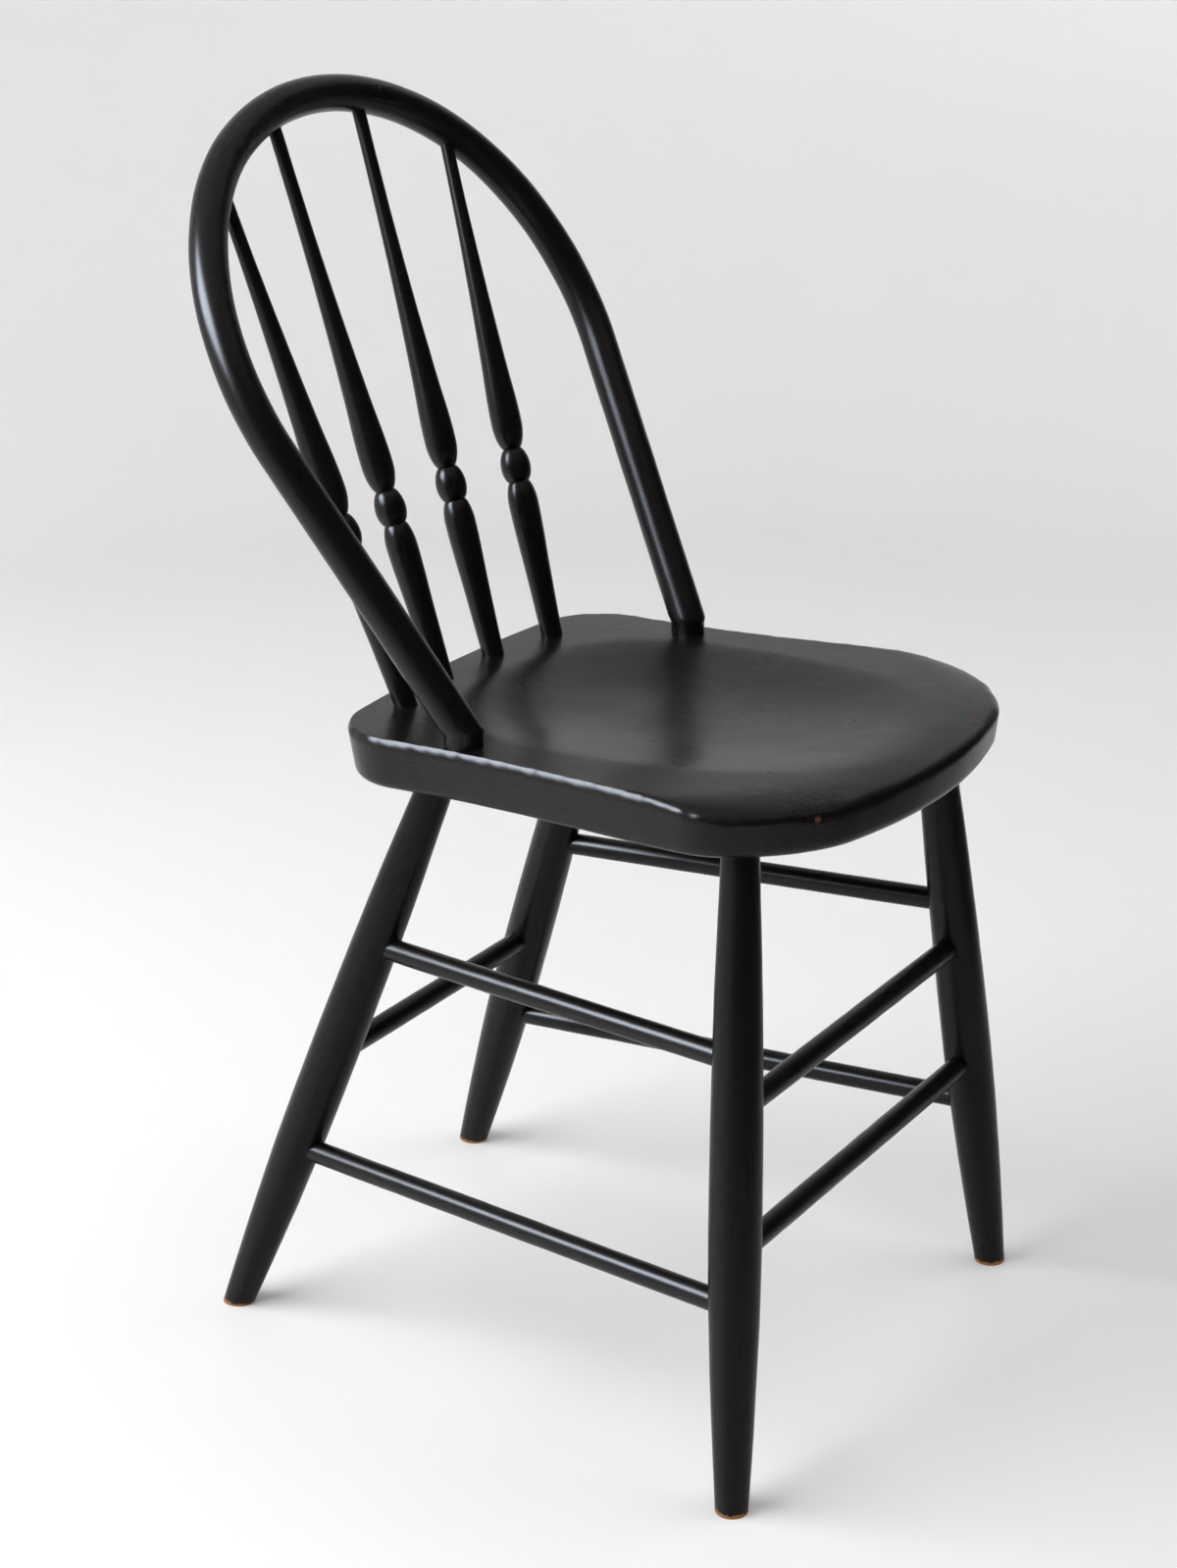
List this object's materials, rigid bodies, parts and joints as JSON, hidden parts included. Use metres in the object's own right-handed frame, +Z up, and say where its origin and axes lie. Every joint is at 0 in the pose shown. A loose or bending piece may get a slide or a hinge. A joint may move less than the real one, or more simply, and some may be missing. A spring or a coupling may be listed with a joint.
{
  "type": "windsor chair",
  "caption": "Hoop-back wooden side chair: a saddled plank seat on splayed turned legs with stretchers, and a bent bow that holds turned spindles.",
  "frame": {"origin": "on the floor, under the middle of the chair's outline", "axes": "+Z up, the chair faces -Y, +X is the sitter's left"},
  "size_m": [0.4078, 0.4997, 0.843],
  "materials": {
    "seat_paint": "black satin paint over wood, with a soft sheen on the hollowed top and bare wood at small nicks",
    "bow_paint": "black satin paint over bent wood",
    "spindle_paint": "black satin paint over turned wood, glossier on the beads",
    "leg_paint": "black satin paint over turned wood, worn to bare wood round the foot",
    "stretcher_paint": "black satin paint over straight wooden rods",
    "hidden_wood": "bare pale hardwood, hidden in the joints"
  },
  "bodies": {
    "root": {"seat": "seat_paint", "bow": "bow_paint", "bow_wedge_right": "hidden_wood", "bow_wedge_left": "hidden_wood", "front_leg_wedge_right": "hidden_wood", "front_leg_wedge_left": "hidden_wood", "rear_leg_wedge_right": "hidden_wood", "rear_leg_wedge_left": "hidden_wood", "outer_spindle_right": "spindle_paint", "outer_spindle_left": "spindle_paint", "inner_spindle_right": "spindle_paint", "inner_spindle_left": "spindle_paint", "front_leg_right": "leg_paint", "front_leg_left": "leg_paint", "rear_leg_right": "leg_paint", "rear_leg_left": "leg_paint", "right_upper_stretcher": "stretcher_paint", "right_lower_stretcher": "stretcher_paint", "left_upper_stretcher": "stretcher_paint", "left_lower_stretcher": "stretcher_paint", "front_upper_stretcher": "stretcher_paint", "front_lower_stretcher": "stretcher_paint", "rear_stretcher": "stretcher_paint"}
  },
  "joints": []
}
